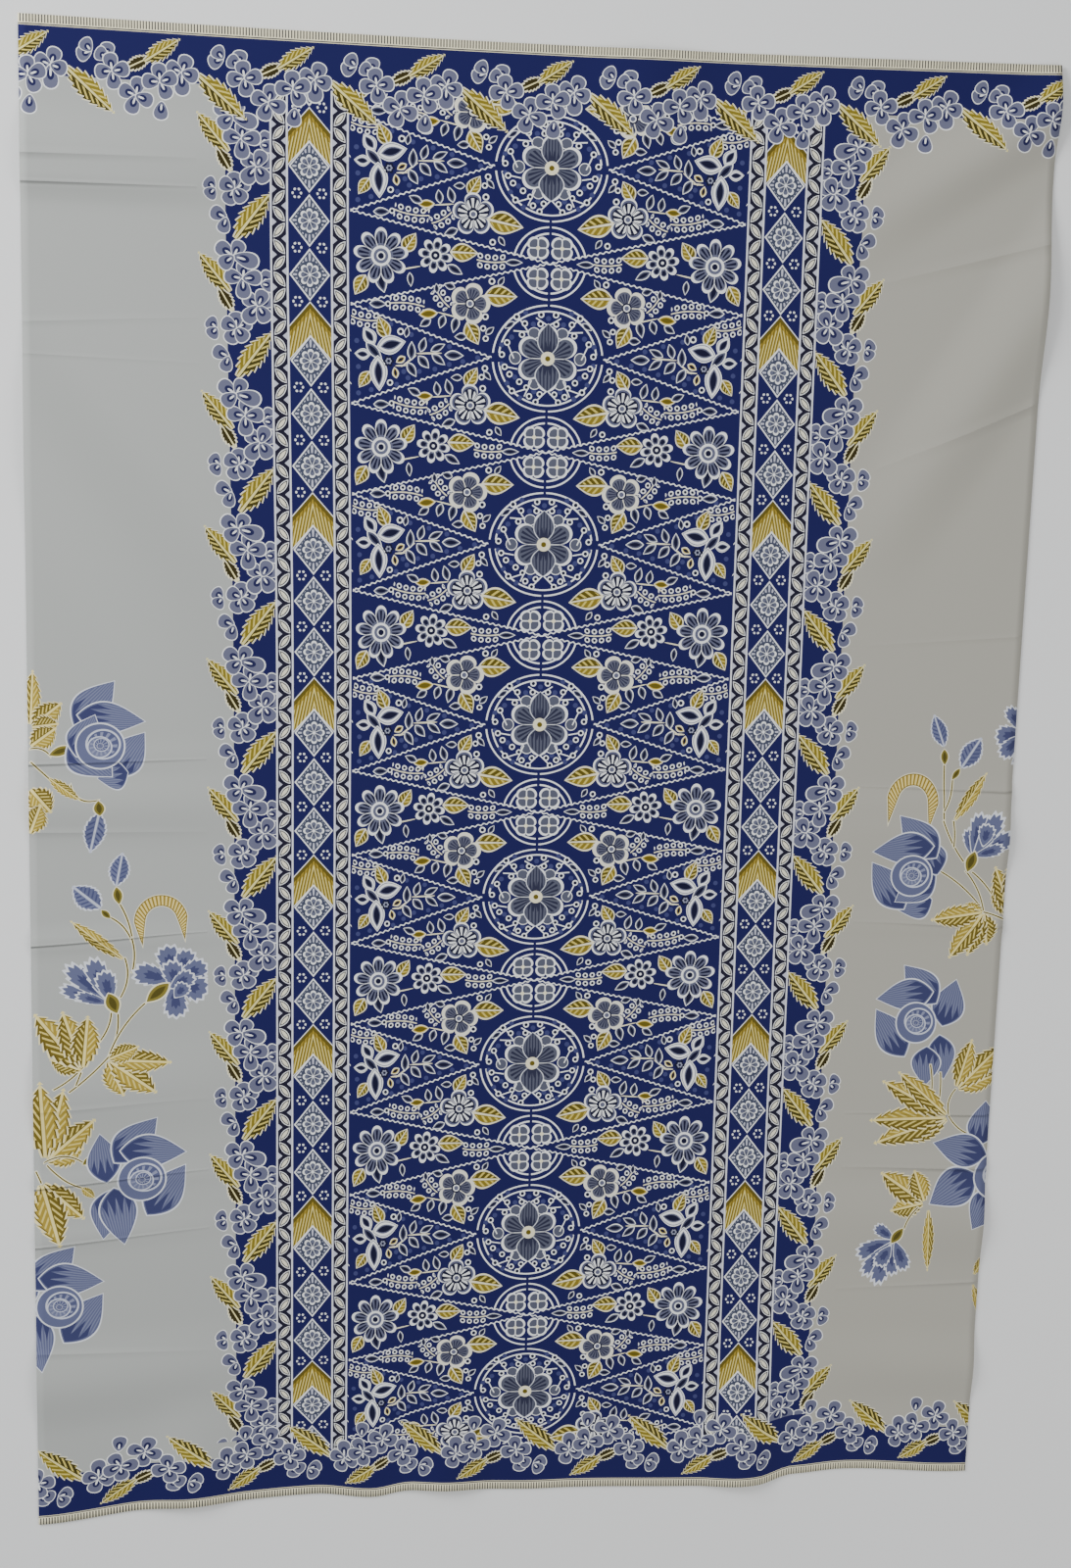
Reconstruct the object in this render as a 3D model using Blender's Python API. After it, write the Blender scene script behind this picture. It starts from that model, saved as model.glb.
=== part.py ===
# One printed cotton cloth, laid flat with its face up.
# It is a single length of cloth between two selvedges, so it is one solid.
import bpy
import math

# Driving sizes in metres. The length runs from selvedge to selvedge.
CLOTH_WIDTH = 0.718
CLOTH_LENGTH = 1.070
CLOTH_THICKNESS = 0.0012

# Cells of the grid that carries the folds.
COLUMNS = 42
ROWS = 60

# The lower selvedge waves: places across the cloth, and how far up it lies.
LOWER_WAVES = [
    (-0.359, 0.0000), (-0.273, 0.0085), (-0.164, 0.0125), (-0.118, 0.0070),
    (-0.085, 0.0115), (0.020, 0.0060), (0.160, 0.0002), (0.185, 0.0000),
    (0.215, 0.0060), (0.250, 0.0080), (0.359, 0.0000)]
LOWER_WAVE_REACH = 0.16

# The upper selvedge sags a little between its two corners.
UPPER_SAG = 0.0032
UPPER_SAG_REACH = 0.12

# Folds as ridges that start at one point and fade out at the other:
# start x, start y, end x, end y, half width, height.
SOFT_SWELLS = [
    (-0.400, 0.437, -0.170, 0.430, 0.040, 0.0058),
    (-0.430, 0.350, -0.200, 0.080, 0.055, 0.0066),
    (-0.420, 0.012, -0.180, 0.006, 0.034, 0.0040),
    (-0.420, -0.205, -0.180, -0.196, 0.042, 0.0036),
    (-0.420, -0.432, -0.170, -0.410, 0.040, 0.0042),
    (0.420, 0.545, 0.190, 0.400, 0.040, 0.0070),
    (0.420, 0.470, 0.225, 0.170, 0.050, 0.0076),
    (0.420, -0.026, 0.190, -0.008, 0.038, 0.0038),
    (0.420, -0.330, 0.190, -0.312, 0.044, 0.0044),
    (0.420, -0.450, 0.200, -0.436, 0.034, 0.0034),
    (0.072, 0.580, 0.050, 0.380, 0.055, 0.0036),
    (-0.062, -0.590, -0.050, -0.420, 0.040, 0.0054),
    (0.172, -0.590, 0.180, -0.420, 0.038, 0.0058),
    (-0.256, -0.590, -0.240, -0.440, 0.044, 0.0046)]

# Pressed creases across the cloth, given the same way.
PRESSED_CREASES = [
    (-0.400, 0.412, -0.215, 0.403, 0.018, 0.0022),
    (-0.400, 0.038, -0.205, 0.043, 0.018, 0.0020),
    (-0.400, -0.093, -0.205, -0.085, 0.018, 0.0026),
    (-0.400, -0.273, -0.205, -0.263, 0.018, 0.0026),
    (-0.400, -0.317, -0.205, -0.302, 0.018, 0.0018),
    (0.400, 0.013, 0.205, 0.005, 0.018, 0.0016),
    (0.400, -0.091, 0.205, -0.085, 0.018, 0.0018),
    (0.400, -0.283, 0.205, -0.274, 0.018, 0.0020)]


def smooth(share):
    share = min(max(share, 0.0), 1.0)
    return share * share * (3.0 - 2.0 * share)


def wave_height(across):
    for (place_a, rise_a), (place_b, rise_b) in zip(LOWER_WAVES, LOWER_WAVES[1:]):
        if across <= place_b:
            share = smooth((across - place_a) / (place_b - place_a))
            return rise_a + (rise_b - rise_a) * share
    return LOWER_WAVES[-1][1]


def laid_place(across, up):
    """Where a point of the flat cloth lies, with its selvedges waving."""
    half = CLOTH_LENGTH / 2
    lower_share = smooth(1.0 - (up + half) / LOWER_WAVE_REACH)
    upper_share = smooth(1.0 - (half - up) / UPPER_SAG_REACH)
    sag = UPPER_SAG * math.cos(math.pi * across / CLOTH_WIDTH)
    return across, up + wave_height(across) * lower_share - sag * upper_share


def ridge(x, y, x0, y0, x1, y1, half_width, height):
    run_x = x1 - x0
    run_y = y1 - y0
    share = ((x - x0) * run_x + (y - y0) * run_y) / (run_x ** 2 + run_y ** 2)
    share = min(max(share, 0.0), 1.0)
    away = math.hypot(x - x0 - run_x * share, y - y0 - run_y * share)
    return height * smooth(1.0 - away / half_width) * (1.0 - share ** 3)


def lift(x, y):
    """How far the folds raise the cloth off the surface it lies on."""
    return sum(ridge(x, y, *fold) for fold in SOFT_SWELLS + PRESSED_CREASES)


for thing in list(bpy.data.objects):
    bpy.data.objects.remove(thing, do_unlink=True)

# The cloth is a grid laid on its folds, then given its thickness upward.
bpy.ops.mesh.primitive_grid_add(x_subdivisions=COLUMNS, y_subdivisions=ROWS, size=1.0)
cloth = bpy.context.object
cloth.name = "batik_cloth"
for point in cloth.data.vertices:
    x, y = laid_place(point.co.x * CLOTH_WIDTH, point.co.y * CLOTH_LENGTH)
    point.co = (x, y, lift(x, y))
cloth.data.shade_smooth()
body = cloth.modifiers.new("cloth thickness", "SOLIDIFY")
body.thickness = CLOTH_THICKNESS
body.offset = 1.0

cotton = bpy.data.materials.new("cotton")
cotton.use_nodes = True
shader = cotton.node_tree.nodes["Principled BSDF"]
shader.inputs["Base Color"].default_value = (0.20, 0.21, 0.27, 1.0)
shader.inputs["Roughness"].default_value = 0.85
shader.inputs["Metallic"].default_value = 0.0
cloth.data.materials.append(cotton)
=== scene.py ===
import bpy
import math
from functools import partialmethod
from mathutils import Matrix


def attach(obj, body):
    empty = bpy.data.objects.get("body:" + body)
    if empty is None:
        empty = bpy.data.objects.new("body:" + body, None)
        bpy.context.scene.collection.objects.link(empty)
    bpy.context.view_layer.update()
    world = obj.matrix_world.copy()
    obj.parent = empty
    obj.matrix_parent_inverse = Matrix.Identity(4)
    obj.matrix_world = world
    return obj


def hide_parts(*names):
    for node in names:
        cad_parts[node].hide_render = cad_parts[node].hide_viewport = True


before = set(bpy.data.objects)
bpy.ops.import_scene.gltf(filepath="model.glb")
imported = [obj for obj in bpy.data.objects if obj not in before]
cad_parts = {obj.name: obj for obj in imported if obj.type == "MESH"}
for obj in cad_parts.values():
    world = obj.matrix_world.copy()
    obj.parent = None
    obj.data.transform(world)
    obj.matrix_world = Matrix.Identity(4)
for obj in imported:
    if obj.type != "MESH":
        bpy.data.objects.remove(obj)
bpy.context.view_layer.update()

# The camera looks down at the cloth from above its left side, the angle the
# photograph was taken from, so the cloth's far edges draw in a little.
bpy.ops.object.select_all(action='DESELECT')
bpy.ops.object.camera_add(
    location=(-0.2876, 0.3400, 1.6114),
    rotation=(math.radians(-11.30), math.radians(-9.73), math.radians(1.63)))
camera = bpy.context.object
camera.name = "camera"
camera.data.lens = 53.17
camera.data.sensor_width = 36.0
camera.data.sensor_fit = 'AUTO'
camera.data.dof.use_dof = False
bpy.context.scene.camera = camera

# A plain pale studio floor, matt and a little warm, wide enough to fill the
# view. The cloth lies on it.
FLOOR_SIZE = 8.0
FLOOR_DROP = 0.0006
bpy.ops.object.select_all(action='DESELECT')
bpy.ops.mesh.primitive_plane_add(size=FLOOR_SIZE, location=(0.0, 0.0, -FLOOR_DROP))
floor = bpy.context.object
floor.name = "studio_floor"
pale = bpy.data.materials.new("pale floor")
pale.use_nodes = True
pale_shader = pale.node_tree.nodes["Principled BSDF"]
pale_shader.inputs["Base Color"].default_value = (0.95, 0.95, 0.94, 1.0)
pale_shader.inputs["Roughness"].default_value = 0.9
floor.data.materials.append(pale)

# Soft studio light: one wide panel high on the left that rakes the folds, a
# weaker one on the right, and an even pale sky so nothing falls dark.
sky = bpy.data.worlds.new("studio sky")
sky.use_nodes = True
sky.node_tree.nodes["Background"].inputs["Color"].default_value = (0.93, 0.96, 1.0, 1.0)
sky.node_tree.nodes["Background"].inputs["Strength"].default_value = 0.52
bpy.context.scene.world = sky
for light_name, place, size, power, tint in (
        ("window panel", (-1.7, 1.15, 1.0), 1.1, 48.0, (0.98, 0.99, 1.0)),
        ("fill panel", (1.8, -0.6, 1.8), 1.6, 17.0, (1.0, 0.96, 0.90))):
    bpy.ops.object.light_add(type='AREA', location=place)
    panel = bpy.context.object
    panel.name = light_name
    panel.data.size = size
    panel.data.energy = power
    panel.data.color = tint
    toward = panel.location.normalized()
    panel.rotation_euler = toward.to_track_quat('Z', 'Y').to_euler()

# The cloth is one length of fine printed cotton with a woven selvedge above
# and below. It lies on its low folds and pressed creases, and its grid follows
# the lines of the print so that each field of the print ends on one.
CLOTH_WIDTH = 0.718
CLOTH_LENGTH = 1.070
CLOTH_THICKNESS = 0.0005
# the print's own sizes are in millimetres on the flat cloth, from its middle
REPEAT = 129.0
PANEL_HALF = 138.0
BANDS_EDGE = 192.4
CHAIN_EDGE = 241.0
CLOTH_HALF = 359.0
SELVEDGE_LINE = 528.0
LENGTH_HALF = 535.0


def even_steps(start, end, count):
    """Evenly spaced lines from one place up to, but not on, another."""
    return [start + (end - start) * step / count for step in range(count)]


across_lines = (even_steps(0.0, PANEL_HALF, 24) + even_steps(PANEL_HALF, BANDS_EDGE, 10)
                + even_steps(BANDS_EDGE, CHAIN_EDGE, 8)
                + even_steps(CHAIN_EDGE, CLOTH_HALF, 21) + [CLOTH_HALF])
across_lines = [-place for place in across_lines[:0:-1]] + across_lines
up_lines = (even_steps(0.0, REPEAT * 4, 96) + even_steps(REPEAT * 4, SELVEDGE_LINE, 2)
            + even_steps(SELVEDGE_LINE, LENGTH_HALF, 2) + [LENGTH_HALF])
up_lines = [-place for place in up_lines[:0:-1]] + up_lines

# The lower selvedge waves and the upper one sags, as in the solid. Inside the
# cloth the print leans to one side, rides high below the middle and is drawn
# in at the left, and low swells and pressed creases run in from the edges.
LOWER_WAVES = [
    (-0.359, 0.0000), (-0.273, 0.0085), (-0.164, 0.0125), (-0.118, 0.0070),
    (-0.085, 0.0115), (0.020, 0.0060), (0.160, 0.0002), (0.185, 0.0000),
    (0.215, 0.0060), (0.250, 0.0080), (0.359, 0.0000)]
LOWER_WAVE_REACH = 0.16
UPPER_SAG = 0.0032
UPPER_SAG_REACH = 0.12
LEAN_ACROSS = 0.0036
SHIFT_UP = 0.0050
SHIFT_UP_AT = -0.19
SHIFT_UP_SPREAD = 0.14
DRAWN_IN = 0.0045
DRAWN_IN_TOP = 0.47
DRAWN_IN_FROM = -0.06
SIDE_FADE = 0.12
SOFT_SWELLS = [
    # from x, y, to x, y, half width, height
    (-0.400, 0.449, -0.170, 0.443, 0.036, 0.0060),
    (-0.430, 0.350, -0.200, 0.080, 0.055, 0.0066),
    (-0.420, 0.012, -0.180, 0.006, 0.034, 0.0040),
    (-0.420, -0.205, -0.180, -0.196, 0.042, 0.0036),
    (-0.420, -0.432, -0.170, -0.410, 0.040, 0.0042),
    (0.420, 0.545, 0.190, 0.400, 0.034, 0.0084),
    (0.420, 0.470, 0.225, 0.170, 0.044, 0.0090),
    (0.420, -0.026, 0.190, -0.008, 0.038, 0.0038),
    (0.420, -0.330, 0.190, -0.312, 0.044, 0.0044),
    (0.420, -0.450, 0.200, -0.436, 0.034, 0.0034),
    (0.072, 0.580, 0.050, 0.380, 0.055, 0.0036),
    (-0.062, -0.590, -0.050, -0.420, 0.040, 0.0054),
    (0.172, -0.590, 0.180, -0.420, 0.038, 0.0058),
    (-0.256, -0.590, -0.240, -0.440, 0.044, 0.0046)]
PRESSED_CREASES = [
    (-0.400, 0.430, -0.215, 0.428, 0.012, 0.0021),
    (-0.400, 0.038, -0.205, 0.043, 0.013, 0.0017),
    (-0.400, -0.093, -0.205, -0.085, 0.011, 0.0020),
    (-0.400, -0.273, -0.205, -0.263, 0.011, 0.0020),
    (-0.400, -0.317, -0.205, -0.302, 0.012, 0.0014),
    (0.400, 0.013, 0.205, 0.005, 0.012, 0.0013),
    (0.400, -0.091, 0.205, -0.085, 0.012, 0.0014),
    (0.400, -0.283, 0.205, -0.274, 0.012, 0.0015)]


def smooth(share):
    """An easy step from 0 to 1."""
    share = min(max(share, 0.0), 1.0)
    return share * share * (3.0 - 2.0 * share)


def wave_height(across):
    """How far the lower selvedge stands up at a place along it."""
    for (place_a, rise_a), (place_b, rise_b) in zip(LOWER_WAVES, LOWER_WAVES[1:]):
        if across <= place_b:
            share = smooth((across - place_a) / (place_b - place_a))
            return rise_a + (rise_b - rise_a) * share
    return LOWER_WAVES[-1][1]


def laid_place(across, up):
    """Where a point of the flat cloth lies on the floor."""
    half = CLOTH_LENGTH / 2
    lower_share = smooth(1.0 - (up + half) / LOWER_WAVE_REACH)
    upper_share = smooth(1.0 - (half - up) / UPPER_SAG_REACH)
    sag = UPPER_SAG * math.cos(math.pi * across / CLOTH_WIDTH)
    inside = smooth((CLOTH_WIDTH / 2 - abs(across)) / SIDE_FADE)
    x = across - LEAN_ACROSS * up / half * inside
    if across < 0.0:
        below_top = smooth((DRAWN_IN_TOP - up) / 0.40)
        x += DRAWN_IN * below_top * smooth((DRAWN_IN_FROM - across) / 0.10) * inside
    y = up + wave_height(across) * lower_share - sag * upper_share
    y += SHIFT_UP * math.exp(-((up - SHIFT_UP_AT) / SHIFT_UP_SPREAD) ** 2) * inside
    return x, y


def ridge(x, y, x0, y0, x1, y1, half_width, height):
    """The height that one fold gives a point, less toward the fold's far end."""
    run_x = x1 - x0
    run_y = y1 - y0
    share = ((x - x0) * run_x + (y - y0) * run_y) / (run_x ** 2 + run_y ** 2)
    share = min(max(share, 0.0), 1.0)
    away = math.hypot(x - x0 - run_x * share, y - y0 - run_y * share)
    return height * smooth(1.0 - away / half_width) * (1.0 - share ** 3)


def lift(x, y):
    """The height of the cloth over the floor, from all its folds."""
    return sum(ridge(x, y, *fold) for fold in SOFT_SWELLS + PRESSED_CREASES)


bpy.ops.object.select_all(action='DESELECT')
columns = len(across_lines) - 1
rows = len(up_lines) - 1
bpy.ops.mesh.primitive_grid_add(x_subdivisions=columns, y_subdivisions=rows, size=1.0)
cloth = bpy.context.object
cloth.name = "printed_cloth"
flat_places = []
for point in cloth.data.vertices:
    across = across_lines[round((point.co.x + 0.5) * columns)]
    up = up_lines[round((point.co.y + 0.5) * rows)]
    flat_places.append((across, up))
    x, y = laid_place(across / 1000, up / 1000)
    point.co = (x, y, lift(x, y))
flat_map = cloth.data.uv_layers.new(name="flat cloth")
for loop in cloth.data.loops:
    flat_map.data[loop.index].uv = flat_places[loop.vertex_index]
cloth.data.shade_smooth()


# The dye goes on as a printer lays it, one stroke of colour over the last.
# Each field of the print is one material, and a stroke is placed in
# millimetres: across from the middle line, and up from a middle row.
def dye(red, green, blue):
    """A dye's colour in linear light, from its shades of 0 to 255."""
    return tuple((c / 255 / 12.92 if c <= 10 else ((c / 255 + 0.055) / 1.055) ** 2.4)
                 for c in (red, green, blue)) + (1.0,)


NAVY = dye(22, 23, 82)
DEEP_NAVY = dye(12, 13, 48)
SLATE = dye(98, 101, 124)
PALE_SLATE = dye(158, 162, 184)
WAX_WHITE = dye(252, 253, 252)
CREAM = dye(250, 242, 206)
GOLD = dye(196, 166, 52)
DARK_GOLD = dye(104, 90, 16)
GREY_GROUND = dye(179, 181, 177)
# The right half's ground is the grey ground with painted warm shade: warmer and a little darker,
# standing in for how the light falls on that side of the cloth.
PAINTED_WARM_SHADE_GROUND = dye(178, 175, 164)
STEEL = dye(88, 91, 108)
ROSE_BLUE = dye(98, 103, 136)
ROSE_SHADE = dye(84, 89, 124)
PALE_EDGE = dye(230, 233, 240)
GOLD_SHADE = dye(92, 76, 18)


class Ink:
    """Dye laid stroke over stroke, in one node tree."""

    def start(self, tree):
        self.nodes = tree.nodes
        self.links = tree.links

    def feed(self, socket, feed):
        """Links a socket to another node, or sets its own value."""
        if isinstance(feed, bpy.types.NodeSocket):
            self.links.new(feed, socket)
        elif feed is not None:
            socket.default_value = feed

    def add(self, kind, *feeds):
        node = self.nodes.new(kind)
        for socket, feed in zip(node.inputs, feeds):
            self.feed(socket, feed)
        return node

    def calc(self, operation, *feeds):
        node = self.add("ShaderNodeMath")
        node.operation = operation
        for socket, feed in zip(node.inputs, feeds):
            self.feed(socket, feed)
        return node.outputs[0]

    plus = partialmethod(calc, 'ADD')
    minus = partialmethod(calc, 'SUBTRACT')
    times = partialmethod(calc, 'MULTIPLY')
    over = partialmethod(calc, 'DIVIDE')
    times_plus = partialmethod(calc, 'MULTIPLY_ADD')
    below = partialmethod(calc, 'LESS_THAN')
    above = partialmethod(calc, 'GREATER_THAN')
    larger = partialmethod(calc, 'MAXIMUM')
    absolute = partialmethod(calc, 'ABSOLUTE')
    fraction = partialmethod(calc, 'FRACT')
    zigzag = partialmethod(calc, 'PINGPONG')
    angle_of = partialmethod(calc, 'ARCTAN2')

    def length(self, vector):
        node = self.nodes.new("ShaderNodeVectorMath")
        node.operation = 'LENGTH'
        self.links.new(vector, node.inputs[0])
        return node.outputs["Value"]

    def scaled(self, vector, by, plus):
        node = self.nodes.new("ShaderNodeVectorMath")
        node.operation = 'MULTIPLY_ADD'
        self.links.new(vector, node.inputs[0])
        node.inputs[1].default_value = by
        node.inputs[2].default_value = plus
        return node.outputs[0]

    def join(self, along, aside):
        return self.add("ShaderNodeCombineXYZ", along, aside).outputs[0]

    def split(self, vector):
        node = self.add("ShaderNodeSeparateXYZ", vector)
        return node.outputs[0], node.outputs[1]

    def lay(self, share, colour):
        """Covers the dye laid so far with a colour, by the share given."""
        node = self.nodes.new("ShaderNodeMix")
        node.data_type = 'RGBA'
        self.feed(node.inputs[0], share)
        self.feed(node.inputs[6], self.ink)
        self.feed(node.inputs[7], colour)
        self.ink = node.outputs[2]

    def lay_below(self, measure, limit, colour):
        """Lays a colour where a measure is under its limit."""
        self.lay(self.below(measure, limit), colour)

    def lay_rings(self, measure, rings):
        """Lays colours by a measure that is 0 at a stroke's heart and 1 outside."""
        node = self.nodes.new("ShaderNodeValToRGB")
        ramp = node.color_ramp
        ramp.interpolation = 'CONSTANT'
        start = 0.0
        for index, (end, colour) in enumerate(rings + [(1.0, None)]):
            stop = ramp.elements[index] if index < 2 else ramp.elements.new(start)
            stop.position = start
            stop.color = colour if colour else (0.0, 0.0, 0.0, 0.0)
            start = end
        self.links.new(measure, node.inputs[0])
        self.lay(node.outputs["Alpha"], node.outputs["Color"])


class Field(Ink):
    """One field of the print: a material of its own."""

    def __init__(self, name, ground):
        self.material = bpy.data.materials.new(name)
        self.material.use_nodes = True
        self.start(self.material.node_tree)
        flat = self.add("ShaderNodeUVMap")
        flat.uv_map = "flat cloth"
        self.across, self.up = self.split(flat.outputs[0])
        self.place = flat.outputs[0]
        self.ink = ground


class Stroke(Ink):
    """A stroke that can be laid anywhere in a field, at any turn and size."""

    def __init__(self, name, sized=True):
        self.tree = bpy.data.node_groups.new(name, 'ShaderNodeTree')
        self.start(self.tree)
        face = self.tree.interface
        face.new_socket("Ink", in_out='INPUT', socket_type='NodeSocketColor')
        for word in ("Place", "Centre", "Turn", "Size"):
            face.new_socket(word, in_out='INPUT', socket_type='NodeSocketVector')
        face.new_socket("Ink", in_out='OUTPUT', socket_type='NodeSocketColor')
        given = self.nodes.new("NodeGroupInput")
        self.ink = given.outputs[0]
        mapping = self.nodes.new("ShaderNodeMapping")
        mapping.vector_type = 'TEXTURE'
        self.links.new(given.outputs[1], mapping.inputs["Vector"])
        self.links.new(given.outputs[2], mapping.inputs["Location"])
        self.links.new(given.outputs[3], mapping.inputs["Rotation"])
        if sized:
            self.links.new(given.outputs[4], mapping.inputs["Scale"])
        self.own = mapping.outputs[0]
        self.size = given.outputs[4]

    def tapered(self, along, aside, slope, middle=1.0, least=0.2):
        """How far aside a place is, in widths of a shape that narrows or widens."""
        return self.over(aside, self.larger(self.times_plus(along, slope, middle), least))

    def bent(self):
        """How far along a bending line a place is, how far from it and past its end."""
        along, aside = self.split(self.own)
        half, sway = self.split(self.size)
        arch = self.over(along, half)
        arch = self.times(self.times_plus(arch, arch, -1.0), sway)
        return along, self.absolute(self.plus(aside, arch)), self.minus(self.absolute(along), half)

    def done(self):
        """Closes the stroke, which STROKES then keeps."""
        out = self.nodes.new("NodeGroupOutput")
        self.links.new(self.ink, out.inputs[0])
        return self.tree


def spot(rings):
    """A round or oval mark."""
    stroke = Stroke("spot")
    stroke.lay_rings(stroke.length(stroke.own), rings)
    return stroke.done()


RIB_HALF = 0.09
VEIN_START = 0.16
VEIN_GAP = 0.62


def leaf(rings, taper=0.0, veins=None, rib=None, teeth=0.0):
    """A pointed leaf, widest near its stem, with a waxed edge.

    Its veins are their slant, how many there are, their colour and the leaf's
    colour under them on one side of the rib.
    """
    stroke = Stroke("leaf")
    along, aside = stroke.split(stroke.own)
    out = stroke.absolute(aside)
    if taper:
        out = stroke.tapered(along, out, -taper)
    body = stroke.times_plus(along, along, out)
    if teeth:
        saw = stroke.fraction(stroke.times_plus(along, 4.5, 9.0))
        body = stroke.times_plus(saw, teeth, body)
    stroke.lay_rings(body, rings)
    if veins:
        slant, count, light, under = veins
        inner = stroke.below(body, rings[0][0])
        side = stroke.above(aside, 0.0)
        stroke.lay(stroke.times(inner, side), under)
        comb = stroke.times_plus(out, -slant, along)
        comb = stroke.fraction(stroke.times_plus(comb, count, 10.0))
        comb = stroke.above(comb, VEIN_GAP)
        reach = stroke.times(inner, stroke.above(out, VEIN_START))
        reach = stroke.times(reach, stroke.below(body, rings[0][0] * 0.9))
        stroke.lay(stroke.times(comb, reach), light)
    if rib:
        rest = stroke.below(body, rings[-1][0])
        stroke.lay(stroke.times(stroke.below(out, RIB_HALF), rest), rib)
    return stroke.done()


def petal():
    """A petal from its flower's heart outward, with a dark throat and streak."""
    stroke = Stroke("petal")
    body = stroke.scaled(stroke.own, (1.82, 0.92, 0.0), (-0.91, 0.0, 0.0))
    along, aside = stroke.split(body)
    aside = stroke.tapered(along, aside, 0.36, middle=0.88, least=0.3)
    stroke.lay_rings(stroke.length(stroke.join(along, aside)),
                     [(0.85, dye(106, 108, 132)), (0.89, dye(78, 80, 110)), (1.0, WAX_WHITE)])
    throat = stroke.length(stroke.scaled(stroke.own, (4.4, 2.3, 0.0), (-1.8, 0.0, 0.0)))
    stroke.lay_below(throat, 1.0, dye(30, 32, 78))
    streak = stroke.length(stroke.scaled(stroke.own, (5.6, 7.5, 0.0), (-1.75, 0.0, 0.0)))
    stroke.lay_below(streak, 1.0, WAX_WHITE)
    return stroke.done()


def flower(petals, rings, valley, gap, rays=None, heart=None):
    """A flower seen face on: petals round a heart, each with its waxed edge.

    Its rays are their number in half a petal, where they start and end, and
    their colour, and its heart is how many times smaller it is, and its rings.
    """
    stroke = Stroke("flower")
    radius = stroke.length(stroke.own)
    along, aside = stroke.split(stroke.own)
    angle = stroke.times(stroke.angle_of(aside, along), petals / math.pi)
    angle = stroke.zigzag(angle, 1.0)
    arch = stroke.calc('SQRT', stroke.minus(1.0, stroke.times(angle, angle)))
    reach = stroke.times_plus(arch, 1.0 - valley, valley)
    body = stroke.over(radius, reach)
    if gap:
        between = stroke.times(stroke.minus(1.0, angle), radius)
        edged = stroke.larger(body, stroke.times_plus(between, -gap, 1.0))
        body = stroke.times(edged, stroke.below(body, 1.0))
        body = stroke.plus(body, stroke.above(stroke.over(radius, reach), 1.0))
    stroke.lay_rings(body, rings)
    if rays:
        count, inner, outer, colour = rays
        comb = stroke.fraction(stroke.times_plus(angle, count, 0.25))
        comb = stroke.below(comb, 0.5)
        reach = stroke.times(stroke.above(radius, inner), stroke.below(body, outer))
        stroke.lay(stroke.times(comb, reach), colour)
    if heart:
        stroke.lay_rings(stroke.times(radius, heart[0]), heart[1])
    return stroke.done()


def line(thick, wave, pitch):
    """A waxed line, straight or wavy, from end to end."""
    stroke = Stroke("line", sized=False)
    along, aside = stroke.split(stroke.own)
    half = stroke.split(stroke.size)[0]
    if wave:
        swing = stroke.calc('SINE', stroke.times(along, 2 * math.pi / pitch))
        aside = stroke.times_plus(swing, wave, aside)
    past = stroke.minus(stroke.absolute(along), half)
    away = stroke.larger(stroke.absolute(aside), past)
    stroke.lay_below(away, thick / 2, WAX_WHITE)
    return stroke.done()


def berries(offset, size, pitch):
    """A stem with a row of open berries down each side."""
    stroke = Stroke("berries", sized=False)
    along, out, past = stroke.bent()
    near = stroke.minus(stroke.zigzag(along, pitch / 2), pitch / 4)
    away = stroke.length(stroke.join(near, stroke.minus(out, offset)))
    away = stroke.times_plus(stroke.larger(past, 0.0), 2.0, stroke.times(away, 1.0 / size))
    stroke.lay_rings(away, [(0.52, DEEP_NAVY), (1.0, WAX_WHITE)])
    stem = stroke.larger(out, past)
    stroke.lay_below(stem, 0.45, CREAM)
    return stroke.done()


def stalk():
    """A thin bending stem with a pale waxed edge."""
    stroke = Stroke("stalk", sized=False)
    out = stroke.larger(*stroke.bent()[1:])
    stroke.lay_below(out, 1.1, CREAM)
    stroke.lay_below(out, 0.5, DARK_GOLD)
    return stroke.done()


def arched_leaf():
    """A leaf that bends right over, like a sickle."""
    stroke = Stroke("arched leaf")
    along, aside = stroke.split(stroke.own)
    radius = stroke.length(stroke.join(along, stroke.larger(aside, 0.0)))
    low = stroke.larger(stroke.minus(0.1, aside), 0.0)
    out = stroke.absolute(stroke.minus(radius, 0.86))
    body = stroke.times_plus(out, 4.0, stroke.times(low, 0.9))
    stroke.lay_rings(body, [(0.80, dye(150, 124, 44)), (0.88, GOLD_SHADE), (1.0, CREAM)])
    angle = stroke.angle_of(stroke.plus(aside, 0.8), along)
    comb = stroke.fraction(stroke.times(angle, 11.0))
    comb = stroke.times(stroke.below(comb, 0.55), stroke.below(body, 0.74))
    stroke.lay(comb, dye(238, 216, 134))
    return stroke.done()


def rose_heart():
    """The curled middle of a rose, petal inside petal."""
    stroke = Stroke("rose heart")
    along, aside = stroke.split(stroke.own)
    angle = stroke.angle_of(aside, along)
    hatch = stroke.zigzag(stroke.times(angle, 13 / math.pi), 1.0)
    hatch = stroke.below(hatch, 0.42)
    stroke.lay_rings(stroke.length(stroke.own), [(0.93, ROSE_BLUE), (1.0, dye(226, 229, 236))])
    for x, y, size, fill in (
            (0.12, 0.08, 0.70, ROSE_SHADE), (-0.02, -0.05, 0.50, dye(112, 117, 148)),
            (0.05, 0.05, 0.31, ROSE_SHADE), (0.0, 0.0, 0.13, dye(58, 62, 104))):
        curl = stroke.scaled(stroke.own, (1 / size, 1.08 / size, 0.0), (-x / size, -y / size, 0.0))
        ring = stroke.length(curl)
        stroke.lay_rings(ring, [(0.88, fill), (1.0, dye(208, 212, 226))])
        stroke.lay(stroke.times(hatch, stroke.below(ring, 0.80)), dye(140, 145, 172))
    return stroke.done()


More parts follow.
